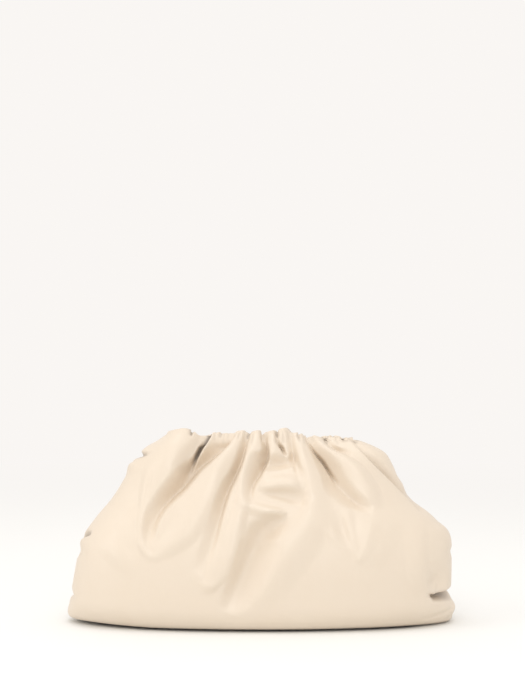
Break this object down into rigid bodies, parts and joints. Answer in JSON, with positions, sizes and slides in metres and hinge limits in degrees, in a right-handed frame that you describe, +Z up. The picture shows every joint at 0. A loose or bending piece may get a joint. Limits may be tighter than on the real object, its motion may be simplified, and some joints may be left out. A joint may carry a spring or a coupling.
{
  "type": "gathered leather pouch bag",
  "caption": "Soft hollow leather pouch bag with a flat base, a full slumped belly and a closed mouth gathered in folds over a hidden frame; holds small belongings.",
  "frame": {"origin": "on the floor, under the middle of the bag's box", "axes": "+X to the right along the mouth, seen from the front, +Y to the back, +Z up"},
  "size_m": [0.3824, 0.1528, 0.1979],
  "materials": {
    "cream_leather": "soft, smooth, fine-grained cream leather with a low sheen",
    "frame_steel": "plain brushed bar, hidden in the hem"
  },
  "bodies": {
    "root": {"leather_body": "cream_leather", "mouth_frame": "frame_steel"}
  },
  "joints": []
}
